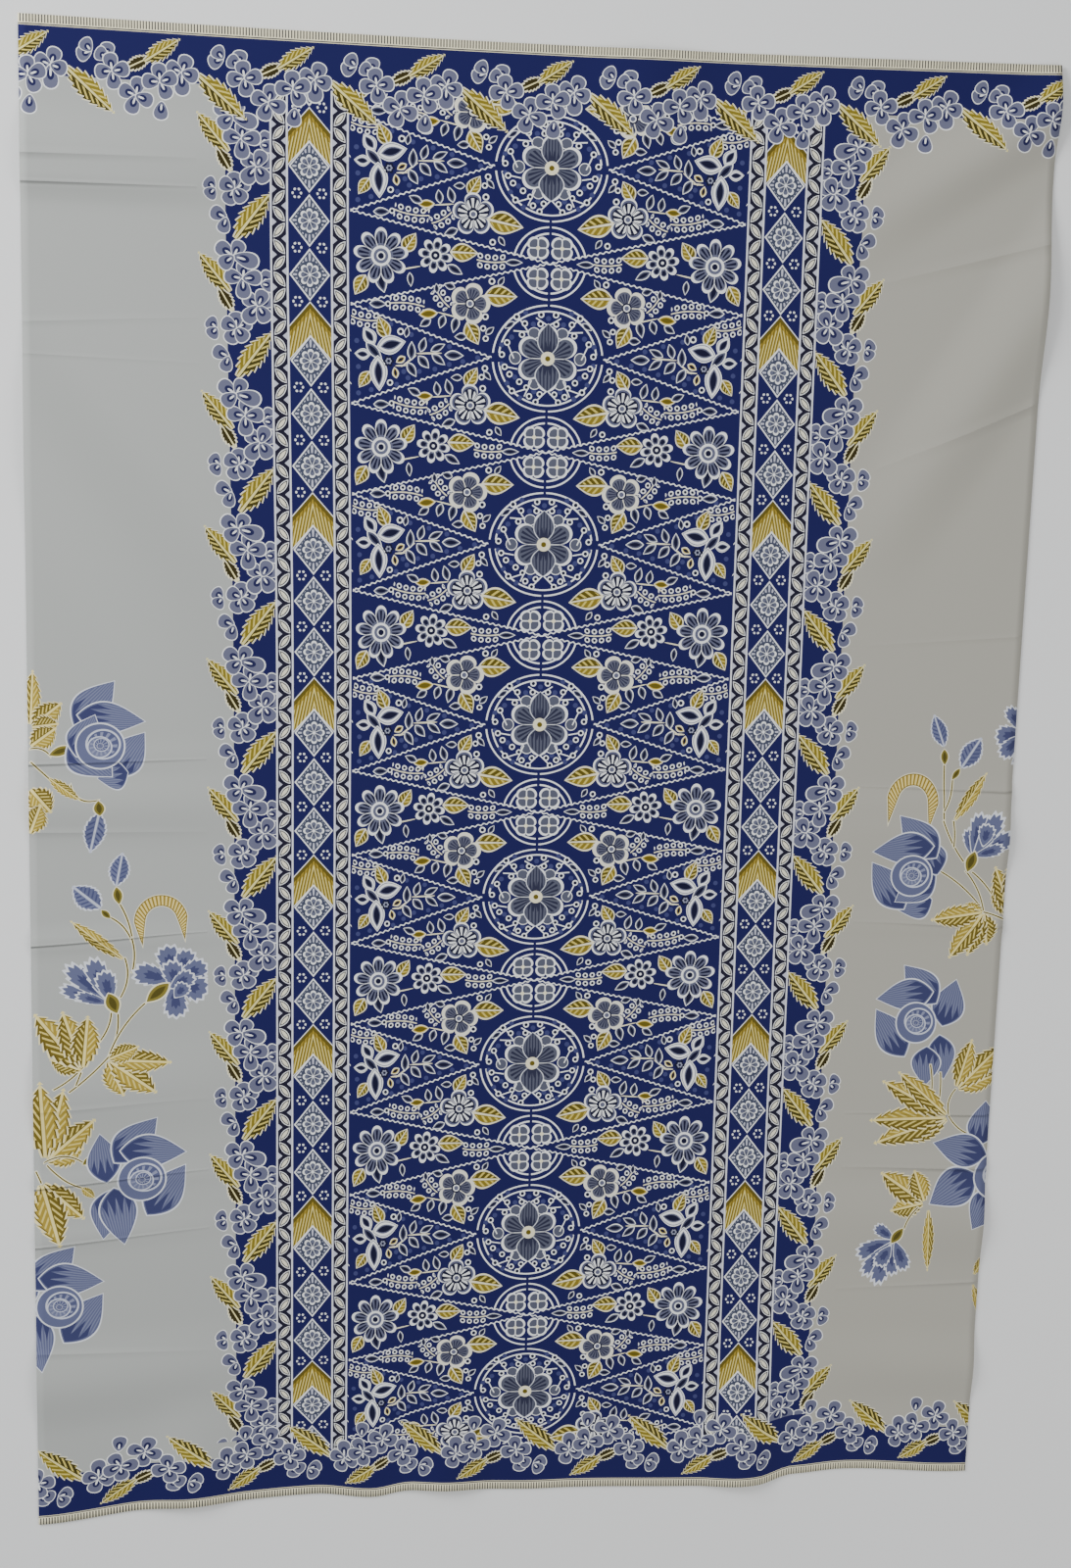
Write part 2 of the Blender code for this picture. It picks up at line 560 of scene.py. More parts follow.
def lined_petal(fill, lines, streaks, count, taper):
    """A petal with dark streaks rising from its foot and fine lines along it."""
    stroke = Stroke("lined petal")
    along, aside = stroke.split(stroke.own)
    aside = stroke.tapered(along, aside, -taper)
    body = stroke.times_plus(along, along, stroke.absolute(aside))
    stroke.lay_rings(body, [(0.92, fill), (1.0, PALE_EDGE)])
    comb = stroke.zigzag(stroke.times(aside, 5.5), 1.0)
    fine = stroke.below(stroke.zigzag(stroke.times(aside, count), 1.0), 0.40)
    inner = stroke.below(body, 0.84)
    stroke.lay(stroke.times(fine, inner), lines)
    streak = stroke.times_plus(comb, -0.62, along)
    streak = stroke.below(streak, -0.62)
    stroke.lay(stroke.times(streak, inner), streaks)
    return stroke.done()


def frilled_petal():
    """A carnation petal: narrow at its foot, with a fringed pale edge."""
    stroke = Stroke("frilled petal")
    along, aside = stroke.split(stroke.own)
    aside = stroke.tapered(along, aside, 0.45, middle=0.72)
    radius = stroke.length(stroke.join(along, aside))
    angle = stroke.angle_of(aside, stroke.plus(along, 1.0))
    fringe = stroke.zigzag(stroke.times(angle, 9.0), 1.0)
    tip = stroke.above(along, -0.1)
    body = stroke.times_plus(stroke.times(fringe, tip), 0.16, radius)
    stroke.lay_rings(body, [(0.45, dye(66, 70, 110)), (0.86, dye(100, 105, 138)), (1.0, PALE_EDGE)])
    return stroke.done()


def wedge(slope):
    """A clear wedge of ground that opens outward from its point."""
    stroke = Stroke("wedge", sized=False)
    along, aside = stroke.split(stroke.own)
    open_by = stroke.times_plus(along, -slope, stroke.absolute(aside))
    stroke.lay_below(open_by, 0.0, NAVY)
    return stroke.done()


def ring_gap():
    """A square of bare ground that breaks a ring."""
    stroke = Stroke("gap")
    along, aside = stroke.split(stroke.own)
    box = stroke.larger(stroke.absolute(along), stroke.absolute(aside))
    stroke.lay_below(box, 1.0, NAVY)
    return stroke.done()


SLATE_HEART = [(0.45, SLATE), (0.7, WAX_WHITE), (1.0, DEEP_NAVY)]
GOLD_HEART = [(0.38, DARK_GOLD), (1.0, CREAM)]
STROKES = {
    "slate leaf": leaf([(0.42, DEEP_NAVY), (0.76, dye(84, 87, 110)), (1.0, WAX_WHITE)], 0.25),
    "gold leaf": leaf([(0.82, dye(92, 80, 14)), (1.0, CREAM)], 0.35, rib=CREAM,
                      veins=(0.55, 2.6, dye(216, 196, 98), dye(138, 120, 36))),
    "gold bud": leaf([(0.50, DARK_GOLD), (0.72, GOLD), (1.0, CREAM)]),
    "white petal": leaf([(0.34, DEEP_NAVY), (0.50, SLATE), (0.78, WAX_WHITE), (0.86, SLATE),
                         (1.0, WAX_WHITE)], 0.2),
    "calyx": leaf([(0.4, DEEP_NAVY), (0.6, GOLD), (1.0, CREAM)], -0.2),
    "berry": spot([(0.55, DEEP_NAVY), (1.0, WAX_WHITE)]),
    "haze": spot([(1.0, dye(62, 66, 114))]),
    "stem": spot([(1.0, CREAM)]),
    "berries": berries(3.2, 1.95, 10.4),
    "wavy line": line(0.95, 0.5, 4.2),
    "dark flower": flower(5, [(0.80, DEEP_NAVY), (0.90, dye(92, 95, 122)), (1.0, WAX_WHITE)],
                          valley=0.5, gap=5.0, rays=(1.5, 0.30, 0.74, WAX_WHITE),
                          heart=(4.0, SLATE_HEART)),
    "frilled flower": flower(5, [(0.80, dye(94, 96, 114)), (1.0, dye(244, 240, 222))],
                             valley=0.62, gap=5.0, rays=(2.5, 0.24, 0.70, dye(44, 46, 72)),
                             heart=(4.0, SLATE_HEART)),
    "daisy": flower(9, [(0.88, SLATE), (1.0, WAX_WHITE)], valley=0.45, gap=3.0,
                    rays=(1.5, 0.44, 0.82, DEEP_NAVY),
                    heart=(2.8, [(0.30, DEEP_NAVY), (0.44, WAX_WHITE), (0.74, SLATE),
                                 (1.0, WAX_WHITE)])),
    "small flower": flower(8, [(0.80, SLATE), (1.0, WAX_WHITE)], valley=0.40, gap=2.4,
                           rays=(0.5, 0.45, 0.74, DEEP_NAVY),
                           heart=(2.8, [(0.25, WAX_WHITE), (0.7, DEEP_NAVY), (1.0, WAX_WHITE)])),
    "floret": flower(6, [(0.30, DEEP_NAVY), (0.55, PALE_SLATE), (1.0, DEEP_NAVY)],
                     valley=0.5, gap=0.0),
    "gold": leaf([(0.90, dye(66, 58, 8)), (1.0, CREAM)], 0.22, teeth=0.24,
                 rib=dye(236, 224, 150), veins=(0.62, 4.0, dye(220, 202, 106), dye(134, 118, 32))),
    "dark": leaf([(0.78, dye(52, 44, 8)), (1.0, CREAM)], 0.25, teeth=0.2, rib=dye(248, 236, 170)),
    "petal": petal(),
    "stalk": stalk(),
    "gold arch": arched_leaf(),
    "rose heart": rose_heart(),
    "rose petal": lined_petal(dye(96, 101, 134), dye(124, 129, 158), dye(58, 62, 104), 13.0, 0.42),
    "frill petal": frilled_petal(),
    "blue bud": leaf([(0.86, ROSE_BLUE), (1.0, dye(226, 229, 238))], 0.1, teeth=0.12,
                     rib=dye(196, 201, 218),
                     veins=(0.4, 4.2, dye(72, 77, 116), dye(110, 115, 148))),
    "olive leaf": leaf([(0.40, dye(84, 76, 22)), (0.80, dye(132, 120, 48)), (1.0, CREAM)], -0.1),
    "gold lobe": leaf([(0.82, dye(172, 148, 58)), (0.89, GOLD_SHADE), (1.0, dye(250, 236, 178))],
                      0.1, teeth=0.20, rib=dye(246, 228, 150),
                      veins=(0.7, 4.2, dye(228, 208, 118), dye(112, 96, 28))),
    "large ring": spot([(0.858, NAVY), (0.890, WAX_WHITE), (0.968, NAVY), (1.0, WAX_WHITE)]),
    "small ring": spot([(0.78, NAVY), (0.83, WAX_WHITE), (0.95, NAVY), (1.0, WAX_WHITE)]),
    "gap": ring_gap(),
    "wedge": wedge(0.2246),
    "grey blob": spot([(0.86, STEEL), (1.0, WAX_WHITE)]),
    "star flower": flower(6, [(0.90, STEEL), (1.0, WAX_WHITE)], valley=0.42, gap=4.6,
                          rays=(2.5, 0.26, 0.80, dye(40, 42, 66)), heart=(4.6, GOLD_HEART)),
    "heart petal": lined_petal(STEEL, dye(44, 46, 70), dye(44, 46, 70), 7.0, 0.1),
    "flower heart": spot(GOLD_HEART),
    "square flower": flower(4, [(0.80, STEEL), (1.0, WAX_WHITE)], valley=0.62, gap=3.0,
                            heart=(6.0, [(1.0, CREAM)])),
    "twig": line(0.9, 0.0, 1.0),
    "seed": leaf([(0.46, dye(246, 240, 214)), (0.74, dye(30, 26, 40)), (1.0, WAX_WHITE)]),
}


def draw(field, kind, x, y, turn, long, wide):
    """Lays one stroke, given by its centre, turn, half length and half width."""
    node = field.nodes.new("ShaderNodeGroup")
    node.node_tree = STROKES[kind]
    field.feed(node.inputs[0], field.ink)
    field.links.new(field.place, node.inputs[1])
    node.inputs[2].default_value = (x, y, 0.0)
    node.inputs[3].default_value = (0.0, 0.0, math.radians(turn))
    node.inputs[4].default_value = (long, wide, 1.0)
    field.ink = node.outputs[0]


# The centre panel between the bands: medallions down the middle line, and
# sharp wavy-edged triangles of flowers reaching in from both sides. It is
# mirrored across the middle line, and one repeat is 129 mm tall.
PANEL_TILES = 4
TILE_ACROSS = PANEL_HALF / PANEL_TILES
TILE_UP = REPEAT / PANEL_TILES


def marks(kind, *rows):
    """Like strokes, each by its centre, turn, half length and half width."""
    return [(kind, *row) for row in rows]


def dots(kind, size, *places):
    """Round strokes of one size."""
    return [(kind, x, y, 0, size, size) for x, y in places]


MEDALLION_STROKES = (
    marks("small ring", (0, 64.5, 0, 26, 25), (0, -64.5, 0, 26, 25))
    + marks("gap", (0, 64.5, 0, 1, 26.5), (0, -64.5, 0, 1, 26.5))
    + marks("square flower", (8.4, 54.2, 45, 8.6, 8.6), (8.4, 74.8, 45, 8.6, 8.6),
        (8.4, -54.2, 45, 8.6, 8.6), (8.4, -74.8, 45, 8.6, 8.6))
    + marks("wedge", (0, 64.5, 0, 44, 9), (0, -64.5, 0, 44, 9))
    + marks("large ring", (0, 0, 0, 39.3, 36.8))
    + marks("gap", (37, 0, 0, 4, 3.2), (0, 35.4, 0, 1, 2.6), (0, -35.4, 0, 1, 2.6))
    + dots("haze", 1.8, (16.2, 31.1), (0, 27.4), (10.6, 23.3), (25.7, 14.1), (32.6, 8.7),
        (32.4, -4.3), (22.9, -13.1), (28.4, -17.4), (19.1, -27.3), (9.3, -22.6))
    + marks("grey blob", (10, 17.2, 0, 4.4, 4), (9, -17.4, 0, 4.4, 4), (22.9, 0, 0, 4.2, 4.4))
    + marks("twig", (4.2, 24.9, 31, 4.9, 1), (19, 18.2, 3, 5, 1), (17.5, 22.7, 54, 5.9, 1),
        (26.3, 4.9, 65, 5.4, 1), (25.4, -6.8, 10, 3.9, 1), (3.6, -25.4, -45, 5, 1),
        (13.6, -20.6, -66, 5.6, 1), (18, -22, -18, 5, 1))
    + marks("berry", (5.2, 29.9, 0, 2.2, 2.2), (5.5, 23.6, 0, 2.2, 2.2), (16.6, 23.6, 0, 2.2, 2.2),
        (18.4, 16, 0, 2.2, 2.2), (32.3, 2.1, 0, 2.2, 2.2), (28.8, 10.4, 0, 2.2, 2.2),
        (26.7, -11.2, 0, 2.2, 2.2), (30.2, -6.2, 0, 2.2, 2.2), (19.7, -16.2, 0, 2.2, 2.2),
        (24.8, -22.6, 0, 2.2, 2.2), (14.7, -20, 0, 2, 2), (12.6, -26, 0, 2.2, 2.2),
        (5.2, -24.4, 0, 2.1, 2.1), (8, -29.8, 0, 2.1, 2.1), (22.4, 28, 0, 2.3, 2.3))
    + marks("slate leaf", (27.3, 22.3, -35, 4.2, 2)) + marks("star flower", (0, 0, 30, 22.6, 22.6))
    + marks("heart petal", (0, -12, -90, 10.8, 9), (0, 12.6, 90, 11.6, 7.6))
    + marks("flower heart", (0, 0, 0, 4.8, 4.8)))
PANEL_STROKES = (
    MEDALLION_STROKES
    + marks("wavy line", (89, 16.75, 18.9, 51.8, 0), (89, -16.75, -18.9, 51.8, 0),
        (69, 49, -12.7, 70.7, 0), (69, -49, 12.7, 70.7, 0))
    + dots("haze", 1.7, (124.1, 31.2), (95.8, 13.9), (82, 10.5), (69, 6.5), (49.2, -0.6),
        (59.5, -3.4), (69, -5.6), (79, -9), (90, -10.8), (101, -11.2), (98, -15.4), (106, -20),
        (124, -24), (133, -26.4), (133, -8.6), (134, 8.9), (110.2, 20.5))
    + marks("stem", (83.1, 1.6, 178, 9, 0.6), (97.4, -4, 143, 6.8, 0.6), (103, -7.2, 176, 4, 0.6))
    + marks("slate leaf", (95.6, 3, 91, 6.6, 3), (87.7, 7.3, 107, 5.4, 2.8),
        (77.1, 5.6, 154, 5.7, 2.5), (95.3, -9.7, -123, 5.9, 3), (87, -4.4, -133, 5.7, 3.2),
        (76.6, -2.5, -143, 6, 2.7), (65.7, 0.7, -179, 6.8, 3.3))
    + marks("gold leaf", (115.7, 18.3, 66, 8.4, 4.9), (128.9, -17.1, -56, 6.8, 4.2))
    + marks("white petal", (130.1, -0.1, 4, 5.6, 3.9), (125.3, 12.4, 54, 6.8, 4.7))
    + marks("slate leaf", (121.9, 2.1, -133, 8.4, 3.5))
    + marks("white petal", (110, 6.8, 167, 10.6, 6.5), (118.8, -12.7, -93, 12.2, 6.2))
    + marks("calyx", (103.2, -3.2, 149, 3.9, 2.5), (106.9, -12.1, -101, 4, 2.4))
    + marks("floret", (111.7, -4.3, 0, 4, 4))
    + marks("berry", (110.7, -18.9, 0, 2.2, 2.2), (103.3, 15.8, 0, 2.4, 2.4))
    + marks("slate leaf", (99, 15.5, 99, 3.8, 2)) + marks("berries", (128.6, 24, 8, 8.8, -1.2))
    + marks("slate leaf", (116.7, -33.7, 179, 5.9, 2.9)) + marks("berry", (109.6, -32.9, 0, 2, 2))
    + marks("berries", (96.2, -33.6, -172, 11.8, 1.3))
    + marks("gold bud", (86.1, -27.5, 177, 5.8, 2.9))
    + marks("slate leaf", (93.5, -24.6, 24, 5.1, 2.7), (77.3, -22.2, 81, 4.9, 2.7),
        (69.2, -20.8, 74, 5.6, 2.8))
    + marks("stem", (74.2, -27.5, 175, 6.9, 0.5), (84.8, -31, 144, 4.8, 0.5))
    + marks("slate leaf", (69, -45.5, -21, 5.1, 2.8)) + marks("berries", (75.4, -36.4, 150, 7.4, 1))
    + marks("gold leaf", (31.6, -38.6, -169, 13, 7.5), (53.3, -13.8, 121, 7.8, 4.9))
    + marks("slate leaf", (63.7, -14.4, -1, 4.1, 2.4)) + marks("berry", (44, -7.6, 0, 2.2, 2.2))
    + marks("slate leaf", (42.2, -12.6, -131, 3.9, 2))
    + marks("berry", (46.2, -13.7, 0, 2.1, 2.1), (45.3, -21.4, 0, 2.3, 2.3))
    + marks("dark flower", (53.8, -33.2, 87, 14.6, 14.6))
    + marks("berry", (40.1, -51.4, 0, 2.2, 2.2))
    + marks("slate leaf", (33.8, -50.6, -124, 3.7, 2), (119.2, 34, -179, 6.1, 2.9))
    + marks("berry", (112.2, 34.2, 0, 2, 2)) + marks("berries", (99, 33.8, -176, 11.8, -1.3))
    + marks("gold bud", (84, 28.3, 174, 6.8, 3.5))
    + marks("slate leaf", (86, 22.1, -31, 4.6, 2.7), (74.4, 23.2, -73, 4.9, 2.8),
        (65.2, 21.5, -76, 5.9, 3))
    + marks("stem", (69.1, 27.6, -167, 8.8, 0.5)) + marks("slate leaf", (69.4, 47.4, 14, 4, 2.5))
    + marks("berries", (74.2, 39.2, -128, 7.4, 1)) + marks("slate leaf", (78.4, 45.6, 84, 3.4, 1.9))
    + marks("gold leaf", (33.7, 41.7, -179, 11.6, 7.1), (53, 15.9, -119, 8.7, 5.7))
    + marks("slate leaf", (61.3, 13.5, -3, 4.4, 2.7))
    + marks("frilled flower", (55.1, 35.9, 107, 14.2, 14.2))
    + marks("berry", (44.3, 27.4, 0, 2.3, 2.3), (45.7, 19.5, 0, 2.1, 2.1))
    + marks("slate leaf", (41, 18, 139, 3.9, 2.1))
    + marks("berry", (43.8, 12.6, 0, 2.1, 2.1), (40.1, 51.4, 0, 2.3, 2.3))
    + marks("slate leaf", (33.6, 51.7, 124, 3.6, 2))
    + marks("gold leaf", (97.4, 75.5, 124, 7.8, 5.1), (131.4, 46.4, -61, 7.8, 5.1))
    + marks("slate leaf", (116.7, 48.3, -106, 7.2, 4), (96.8, 50.9, -96, 4.9, 2.2))
    + marks("stem", (97.9, 58.4, 169, 8.4, 0.5)) + marks("slate leaf", (66, 58.4, -151, 6.2, 2.9))
    + marks("gold leaf", (59.7, 70, -179, 9.9, 6.1)) + marks("berries", (40.8, 65.2, -178, 9.6, 1))
    + marks("slate leaf", (25, 64.5, 179, 6.2, 2.3)) + marks("daisy", (117.1, 66, 10, 19, 19))
    + marks("small flower", (79.5, 67.5, 10, 11.9, 11.9)))


def reaches(stroke, left, right, low, high):
    """Whether a stroke shows inside a field."""
    kind, x, y, turn, long, wide = stroke
    spread = 3.0 + (7.0 if kind == "berries" else max(1.0, abs(wide)))
    steps = max(2, int(long / 4))
    for step in range(-steps, steps + 1):
        px = x + long * step / steps * math.cos(math.radians(turn))
        py = y + long * step / steps * math.sin(math.radians(turn))
        if left - spread < px < right + spread and low - spread < py < high + spread:
            return True
    return False


def draw_chart(field, strokes, window, shifts=((0.0, 0.0),)):
    """Draws the strokes of a chart that show inside a field, at each of their repeats."""
    for kind, x, y, *shape in strokes:
        for shift_x, shift_y in shifts:
            stroke = (kind, x + shift_x, y + shift_y, *shape)
            if reaches(stroke, *window):
                draw(field, *stroke)


def draw_panel(field, left, low):
    """One tile of the panel, from its left edge and its lowest row."""
    out = field.absolute(field.across)
    row = field.calc('WRAP', field.up, low + REPEAT * 0.6, low - REPEAT * 0.4)
    field.place = field.join(out, row)
    draw_chart(field, PANEL_STROKES, (left, left + TILE_ACROSS, low, low + TILE_UP),
               [(0.0, REPEAT * (step + 0.5)) for step in (-1, 0, 1)])


# Two flowered bands run down each side of the panel: a column of diamonds and
# golden chevrons between two strips of slanting seeds. They are dyed by the
# same rule over the whole length, so nothing is placed stroke by stroke.
COLUMN_MIDDLE = 165.8
COLUMN_SQUEEZE = 1.06
COLUMN_FOOT = 98.5
DIAMOND_STEP = 35.75
DIAMONDS_TOP = DIAMOND_STEP * 3
DIAMOND_HALF_TALL = 17.4
DIAMOND_HALF_WIDE = 14.6
DIAMOND_RAYS = 12
RAYS_FROM = 9.2
BLOOM_PETALS = 8
BLOOM_VALLEY = 4.8
BLOOM_RISE = 3.2
FLORET_ASIDE = 8.9
FLORET_RADIUS = 2.95
FLORET_DOTS = 6
CHEVRON_SLOPE = 1.08
CHEVRON_DEPTH = 22.5
STRIP_MIDDLE = 21.7
STRIP_HALF = 5.9
SEED_STEP = 10.75
STRIP_PALE = dye(200, 201, 216)


def draw_diamonds(field, beside, out, low):
    """Three framed diamonds, each with a rayed edge and an eight-petalled flower."""
    cell = field.fraction(field.over(low, DIAMOND_STEP))
    near = field.times_plus(cell, DIAMOND_STEP, -17.87)
    near = field.times_plus(field.above(low, DIAMONDS_TOP), 100.0, near)
    corner = field.times_plus(field.absolute(near), 1 / DIAMOND_HALF_TALL,
                              field.over(out, DIAMOND_HALF_WIDE))
    field.lay_rings(corner, [(0.91, dye(66, 72, 92)), (1.0, WAX_WHITE)])
    radius = field.length(field.join(beside, near))
    angle = field.angle_of(near, beside)
    fan = field.zigzag(field.times(angle, DIAMOND_RAYS / math.pi), 0.5)
    rays = field.times(field.above(radius, RAYS_FROM), field.below(corner, 0.84))
    rays = field.times(rays, field.below(fan, 0.24))
    field.lay(rays, STRIP_PALE)
    petal_edge = field.zigzag(field.times(angle, BLOOM_PETALS / math.pi), 1.0)
    arch = field.calc('SQRT', field.minus(1.0, field.times(petal_edge, petal_edge)))
    bloom = field.over(radius, field.times_plus(arch, BLOOM_RISE, BLOOM_VALLEY))
    gap = field.times(field.minus(1.0, petal_edge), radius)
    inner = field.below(bloom, 1.0)
    bloom = field.larger(bloom, field.times_plus(gap, -0.42, 1.0))
    field.lay(inner, WAX_WHITE)
    field.lay_below(bloom, 0.80, dye(100, 104, 124))
    field.lay_below(bloom, 0.50, dye(74, 78, 98))
    field.lay_below(radius, 1.0, WAX_WHITE)


def draw_florets(field, out, low):
    """Six-dot florets that stand in the corners between the diamonds."""
    aside = field.minus(out, FLORET_ASIDE)
    mid = field.times_plus(field.above(low, 120.0), -REPEAT, low)
    mid = field.calc('WRAP', mid, DIAMOND_STEP / 2, -DIAMOND_STEP / 2)
    radius = field.length(field.join(aside, mid))
    angle = field.angle_of(mid, aside)
    dot = field.zigzag(field.times(angle, FLORET_DOTS / math.pi), 1.0)
    dot = field.times(dot, 1.35)
    away = field.length(field.join(dot, field.minus(radius, FLORET_RADIUS)))
    field.lay_below(away, 0.80, WAX_WHITE)


def draw_chevron(field, out, up):
    """The golden chevron over the diamonds, streaked up to its point."""
    rise = field.times_plus(out, CHEVRON_SLOPE, field.minus(up, COLUMN_FOOT + REPEAT))
    streak = field.times_plus(rise, 0.10, field.times(out, 0.34))
    streak = field.fraction(streak)
    inside = field.times(field.above(rise, -CHEVRON_DEPTH), field.below(rise, 0.4))
    inside = field.times(inside, field.below(out, 16.0))
    field.lay(inside, dye(100, 86, 20))
    for depth, share, gold in ((4.5, 0.70, dye(164, 140, 48)), (7.5, 0.34, dye(236, 220, 134))):
        lower = field.times(inside, field.below(rise, -depth))
        field.lay(field.times(lower, field.below(streak, share)), gold)
    for depth, half in ((0.3, 0.5), (22.6, 0.45)):
        rim = field.absolute(field.plus(rise, depth))
        field.lay_below(rim, half, WAX_WHITE)


def draw_seed_strip(field, out):
    """A dark strip of slanting seeds, with pale triangles on its edges between them."""
    strip = field.minus(out, STRIP_MIDDLE)
    step = field.zigzag(field.up, SEED_STEP)
    within = field.below(field.absolute(strip), STRIP_HALF)
    field.lay(within, dye(24, 22, 44))
    slope = field.minus(step, SEED_STEP / 2)
    side = field.times(field.calc('SIGN', slope), field.times(strip, -1.0))
    base = field.times_plus(field.absolute(slope), -1.0, SEED_STEP / 2)
    triangle = field.times_plus(base, 1.25, field.minus(5.4, side))
    field.lay(field.times(within, field.below(triangle, 3.7)), STRIP_PALE)
    field.place = field.join(strip, step)
    draw(field, "seed", 0.0, SEED_STEP / 2, 50.0, 6.4, 2.6)
    edge = field.absolute(field.minus(field.absolute(strip), 5.8))
    field.lay_below(edge, 0.75, STRIP_PALE)
    field.lay_below(edge, 0.30, WAX_WHITE)


def draw_bands(field):
    """Both sides' bands at once, as they are alike."""
    beside = field.times(field.minus(field.absolute(field.across), COLUMN_MIDDLE), COLUMN_SQUEEZE)
    up = field.calc('WRAP', field.up, COLUMN_FOOT + REPEAT, COLUMN_FOOT)
    out = field.absolute(beside)
    low = field.minus(up, COLUMN_FOOT)
    draw_diamonds(field, beside, out, low)
    draw_florets(field, out, low)
    draw_chevron(field, out, up)
    draw_seed_strip(field, out)


# A chain of four-petalled flowers and gold leaves runs down the outside of
# each band, where the navy ground meets the grey body, and across both ends.
# It is charted for one step of the chain, from its back to its front strokes.
CHAIN_GROUND_EDGE = 222.0
CHAIN_STEP = 91.7
CHAIN_FOOT = 244.0
RIGHT_CHAIN_DROP = 3.0
END_CHAIN_STEP = 88.2
LOWER_END_LAG = 0.436
END_GROUND_EDGE = 497.0


def petals(x, y, *rows):
    """One flower's petals, each by its turn, half length and half width."""
    return [("petal", x, y, *row) for row in rows]


SIDE_CHAIN = (
    marks("gold", (204, 320, 128, 21.5, -8.6)) + marks("dark", (223, 265.5, 60, 11, 5.2))
    + marks("gold", (229.8, 282.2, 51, 18, 7.6))
    + petals(221.4, 318.4, (24, 11.4, 5.2), (-72, 10.4, 4.6))
    + petals(229, 245.6, (42, 8.4, 5), (-50, 8, 5))
    + petals(216, 246, (155, 11, 5.2), (-62, 11.4, 5.4), (-128, 10.8, 5.2), (90, 10.6, 5),
        (24, 10.6, 5.2))
    + petals(201, 260.9, (148, 12.4, 5.4), (36, 11.4, 5), (-50, 14, 5.6), (-122, 12, 5.4),
        (112, 11.4, 5))
    + petals(198.6, 275.6, (134, 10, 5.4), (190, 9, 4.6))
    + petals(211, 278.7, (98, 12, 5.4), (10, 12.4, 5.2), (-92, 13.2, 5.2), (174, 12.6, 5.2))
    + petals(217, 293.3, (34, 13.6, 5.4), (118, 11.2, 5), (194, 17, 5.6), (-38, 11.4, 5.4)))
END_CHAIN = (
    marks("gold", (-224, 489.2, -41, 23.2, 8.4)) + marks("dark", (-279, 508.4, 26, 11, 5))
    + marks("gold", (-263.4, 517, 33, 15.6, 6.4)) + petals(-263.6, 484, (-96, 12, 5.2))
    + petals(-300, 510, (90, 10, 5), (150, 9, 5)) + petals(-311, 514, (200, 10, 5), (130, 9, 5))
    + petals(-296.9, 502, (100, 11.6, 5.2), (186, 11.6, 5.2), (-82, 11.6, 5.2), (12, 11.6, 5.2))
    + petals(-281, 487.2, (80, 12, 5.2), (160, 12, 5.2), (-110, 12.6, 5.4), (-20, 12, 5.2))
    + petals(-250, 503.7, (70, 11.6, 5.2), (160, 11, 5.2), (-90, 15, 5.4), (-15, 11, 5.2))
    + petals(-264.7, 496.8, (95, 12, 5.2), (180, 12, 5.2), (-60, 12, 5.2), (20, 12, 5.2)))


def draw_side_chain(field, low, high):
    """The side chain between two heights, or one whole step of it, repeated."""
    lower = field.times(field.above(field.across, 0.0), RIGHT_CHAIN_DROP)
    height = field.plus(field.up, lower)
    outer = field.absolute(field.across)
    if high - low > CHAIN_STEP - 0.1:
        height = field.calc('WRAP', height, high, low)
    field.place = field.join(outer, height)
    draw_chart(field, SIDE_CHAIN, (BANDS_EDGE, CHAIN_EDGE, low, high + RIGHT_CHAIN_DROP),
               [(0.0, CHAIN_STEP * step) for step in range(-9, 4)])


def draw_end(field, end, left, right, low, high):
    """The end chain over the print, drawn for the top and turned for the bottom."""
    facing_across = field.times(field.across, float(end))
    facing_up = field.times(field.up, float(end))
    field.lay(field.above(facing_up, END_GROUND_EDGE), NAVY)
    field.place = field.join(facing_across, facing_up)
    window = (left, right, low, high) if end > 0 else (-right, -left, low, high)
    lag = 0.0 if end > 0 else LOWER_END_LAG
    draw_chart(field, END_CHAIN, window,
               [(END_CHAIN_STEP * (step + lag), 0.0) for step in range(-3, 9)])


# Sharp creases cross the body from its side edges, where the cloth was once
# folded. They are too fine for the cloth's grid, so they are relief in its
# material, which is the same matt cotton all over.
CREASE_REACH = 140.0
SHARP_CREASES = [
    # side, height at the side edge, fall toward the middle, half width, depth
    (-1, 429.0, -0.004, 2.2, 1.4), (-1, 447.0, -0.010, 5.0, 1.3), (-1, 338.0, -0.050, 5.0, 0.6),
    (-1, 317.0, 0.030, 3.0, 0.4), (-1, 37.0, -0.028, 2.0, 1.3), (-1, -93.0, -0.050, 1.6, 1.5),
    (-1, -273.0, -0.060, 1.8, 1.3), (-1, -318.0, -0.075, 2.2, 0.9), (-1, -11.0, 0.012, 5.0, 0.6),
    (-1, -215.0, -0.020, 4.0, 0.5), (-1, -400.0, 0.030, 5.0, 0.7), (1, 13.0, -0.040, 2.0, 1.1),
    (1, -91.0, -0.030, 2.4, 0.9), (1, -240.0, -0.010, 2.0, 1.2), (1, -283.0, -0.020, 3.0, 1.3),
    (1, -376.0, 0.010, 3.5, 0.8), (1, 412.0, 0.260, 9.0, 1.6), (1, 300.0, 0.420, 8.0, 1.2),
    (1, 130.0, 0.060, 4.0, 0.5)]


